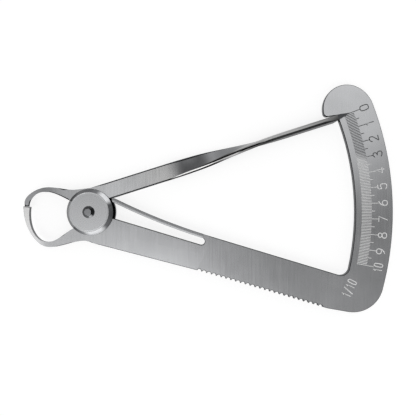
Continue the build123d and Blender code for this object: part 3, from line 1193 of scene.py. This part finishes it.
@dataclass
class ScaleFigures:
    """The engraved figures 0 to 10 and the scale's division, as flat matt strokes on the plate."""

    zero_angle: float = 37.69
    degrees_per_mark: float = 3.18
    last_figure: int = 10
    figure_foot_radius: float = 89.25
    figure_height: float = 2.6
    figure_width: float = 1.55
    figure_gap: float = 0.5
    narrowing: float = 0.62
    stroke_width: float = 0.32
    section_steps: int = 2
    curve_steps: int = 4
    curve_order: int = 3
    proud: float = 0.02
    press: float = 0.2
    tenth: str = "1/10"
    tenth_place: Point = (82.35, 0.4)
    tenth_heading: float = 81.8
    tenth_width: float = 0.9
    tenth_height: float = 2.7
    strokes: list[bpy.types.Object] = field(default_factory=list)

    def build(self) -> None:
        """Lay each figure beside its mark, tops towards the pivot, and the division at the foot."""
        for value in range(self.last_figure + 1):
            text = str(value)
            angle = self.zero_angle - self.degrees_per_mark * value
            foot = plan_direction(angle) * self.figure_foot_radius
            width = self.figure_width * (self.narrowing if len(text) > 1 else 1)
            self._write(text, foot, angle + 90, width, self.figure_height)
        self._write(self.tenth, Vector((*self.tenth_place, 0)), self.tenth_heading,
                    self.tenth_width, self.tenth_height)
        shape = bmesh.new()
        for stroke in self.strokes:
            mesh = bpy.data.meshes.new_from_object(stroke)
            shape.from_mesh(mesh)
            bpy.data.meshes.remove(mesh)
            bpy.data.objects.remove(stroke)
        self._flatten(shape)
        make_piece("scale_figures", shape, [ENGRAVED], "frame_arm")

    def _write(self, text: str, foot: Vector, heading: float, width: float, height: float) -> None:
        """Lay a short text down as strokes, centred on its foot.

        Args:
            text: The characters.
            foot: The middle of the text's base line, in millimetres.
            heading: The direction in which it reads, in degrees.
            width: A character's width, in millimetres.
            height: A character's height, in millimetres.
        """
        total = len(text) * width + (len(text) - 1) * self.figure_gap
        turn = Matrix.Rotation(math.radians(heading), 3, "Z")
        for index, character in enumerate(text):
            left = index * (width + self.figure_gap) - total / 2
            for kind, points in GLYPHS[character]:
                placed = [foot + turn @ Vector((left + x * width, y * height, 0)) for x, y in points]
                self._stroke(kind, placed)

    def _stroke(self, kind: Stroke, points: list[Vector]) -> None:
        """Add one stroke as a curve with a round section.

        Args:
            kind: How its points are joined.
            points: Its points, in millimetres.
        """
        curve = bpy.data.curves.new("stroke", "CURVE")
        curve.dimensions = "3D"
        curve.bevel_depth = self.stroke_width / 2 * MM
        curve.bevel_resolution = self.section_steps
        curve.resolution_u = self.curve_steps
        spline = curve.splines.new("POLY" if kind is Stroke.STRAIGHT else "NURBS")
        spline.points.add(len(points) - 1)
        for point, place in zip(spline.points, points):
            point.co = (*(place * MM), 1.0)
        if kind is not Stroke.STRAIGHT:
            spline.order_u = self.curve_order
            spline.use_endpoint_u = kind is Stroke.ROUND
            spline.use_cyclic_u = kind is Stroke.LOOP
        curve.use_fill_caps = True
        self.strokes.append(add_object("stroke", curve))

    def _flatten(self, shape: Shape) -> None:
        """Press the round strokes almost flush into the plate's face.

        Args:
            shape: All strokes, in metres.
        """
        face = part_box("scale_plate")[1].z
        top = self.stroke_width / 2 * self.press * MM
        bmesh.ops.scale(shape, verts=shape.verts, vec=(1, 1, self.press))
        bmesh.ops.translate(shape, verts=shape.verts, vec=(0, 0, face + self.proud * MM - top))


@dataclass(frozen=True)
class Panel:
    """A soft patch of light on the studio's sky, with its angles in degrees.

    The azimuth is counted from the picture's right-hand side, anticlockwise. The light is full
    up to the inner angle from the patch's middle and gone at the outer one.
    """

    azimuth: float
    elevation: float
    inner: float
    outer: float
    strength: float

    def direction(self) -> Vector:
        """Return the unit vector towards the panel's middle."""
        lift = math.radians(self.elevation)
        return plan_direction(self.azimuth + ROLL) * math.cos(lift) + Vector((0, 0, math.sin(lift)))


@dataclass
class Studio:
    """The pale floor, the soft sky and the camera above the gauge."""

    pixel: float = 0.30
    camera_height: float = 118.0
    picture_side: float = 416.0
    pivot_pixel: Point = (90.2, 212.0)
    sensor: float = 36.0
    floor_side: float = 1600.0
    floor_colour: str = "#f4f4f4"
    floor_share: float = 0.6
    glow_colour: str = "#ffffff"
    floor_glow: float = 1.30
    sky: float = 0.29
    horizon: float = 1.0
    horizon_fades: Point = (0.3, 0.95)
    panels: list[Panel] = field(default_factory=lambda: [
        Panel(55, 62, 14, 21, 0.83),
        Panel(250, 60, 4, 22, 1.85),
        Panel(225, 60, 6, 33, 0.54),
        Panel(188, 64, 3, 12, 0.20),
        Panel(-50, 55, 4, 22, 0.21),
        Panel(-80, 80, 2, 24, 0.085),
        Panel(107, 55, 6, 32, 0.15),
        Panel(-75, 20, 15, 45, 0.74),
    ])

    def build(self) -> None:
        """Set up the floor, the sky and the camera."""
        bpy.context.scene.view_settings.view_transform = "Standard"
        self._floor()
        self._sky()
        self._camera()

    def _floor(self) -> None:
        """Make the floor that the gauge lies on: pale, matt, and keeping the shadow."""
        shape = bmesh.new()
        bmesh.ops.create_grid(shape, x_segments=1, y_segments=1, size=self.floor_side / 2 * MM)
        mesh = bpy.data.meshes.new("floor")
        shape.to_mesh(mesh)
        shape.free()
        material = bpy.data.materials.new("pale_floor")
        tree = empty_tree(material)
        path = add_node(tree, "LightPath")
        seen = add_node(
            tree, "Math", {"operation": "ADD"},
            {0: path.outputs["Is Camera Ray"], 1: path.outputs["Is Glossy Ray"]})
        shown = add_node(
            tree, "Math", {"operation": "ADD", "use_clamp": True},
            {0: seen, 1: path.outputs["Is Transmission Ray"]})
        share = add_node(
            tree, "Math", {"operation": "MULTIPLY", 1: self.floor_share}, {0: shown})
        matt = add_node(tree, "BsdfDiffuse", {"Color": linear(self.floor_colour)})
        glow = add_node(
            tree, "Emission", {"Color": linear(self.glow_colour), "Strength": self.floor_glow})
        mixed = add_node(tree, "MixShader", links={0: share, 1: matt, 2: glow})
        add_node(tree, "OutputMaterial", links={"Surface": mixed})
        mesh.materials.append(material)
        floor = add_object("floor", mesh)

    def _sky(self) -> None:
        """Light the gauge from an even sky with soft panels on it, white down by the horizon."""
        world = bpy.data.worlds.new("studio_sky")
        bpy.context.scene.world = world
        tree = empty_tree(world)
        towards = add_node(tree, "TexCoord").outputs["Generated"]
        total = add_node(tree, "Value")
        total.outputs[0].default_value = self.sky
        for panel in self.panels:
            near = add_node(
                tree, "VectorMath", {"operation": "DOT_PRODUCT", 1: panel.direction()},
                {0: towards})
            light = add_node(
                tree, "MapRange",
                {"interpolation_type": "SMOOTHSTEP", "From Min": math.cos(math.radians(panel.outer)),
                 "From Max": math.cos(math.radians(panel.inner)), "To Min": 0.0,
                 "To Max": panel.strength},
                {"Value": near.outputs["Value"]})
            total = add_node(tree, "Math", {"operation": "ADD"}, {0: total, 1: light})
        parts = add_node(tree, "SeparateXYZ", links={0: towards})
        horizon = add_node(
            tree, "MapRange",
            {"interpolation_type": "SMOOTHSTEP", "From Min": self.horizon_fades[0],
             "From Max": self.horizon_fades[1], "To Min": self.horizon, "To Max": 0.0},
            {"Value": parts.outputs["Z"]})
        total = add_node(tree, "Math", {"operation": "MAXIMUM"}, {0: total, 1: horizon})
        sky = add_node(tree, "Background", links={"Strength": total})
        add_node(tree, "OutputWorld", links={"Surface": sky})

    def _camera(self) -> None:
        """Hang the camera straight above the picture's middle, rolled as the picture is."""
        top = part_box("scale_plate")[1].z / MM
        middle = self.picture_side / 2
        right = (middle - self.pivot_pixel[0]) * self.pixel
        up = (self.pivot_pixel[1] - middle) * self.pixel
        turn = Matrix.Rotation(math.radians(ROLL), 4, "Z")
        data = bpy.data.cameras.new("camera")
        data.sensor_width = self.sensor
        data.lens = self.sensor * self.camera_height / (self.pixel * self.picture_side)
        data.clip_start = MM
        camera = add_object("camera", data)
        camera.matrix_world = turn @ Matrix.Translation(
            Vector((right, up, top + self.camera_height)) * MM)
        bpy.context.scene.camera = camera


def main() -> None:
    """Build the gauge piece by piece and stand it in the studio."""
    logging.basicConfig(level=logging.INFO, format="%(name)s: %(message)s")
    for kind in (ScalePlate, ScaleFigures, LeafSpring, PointerArm, PivotStack, Studio):
        LOG.info("building %s", kind.__name__)
        kind().build()


if __name__ == "__main__":
    main()
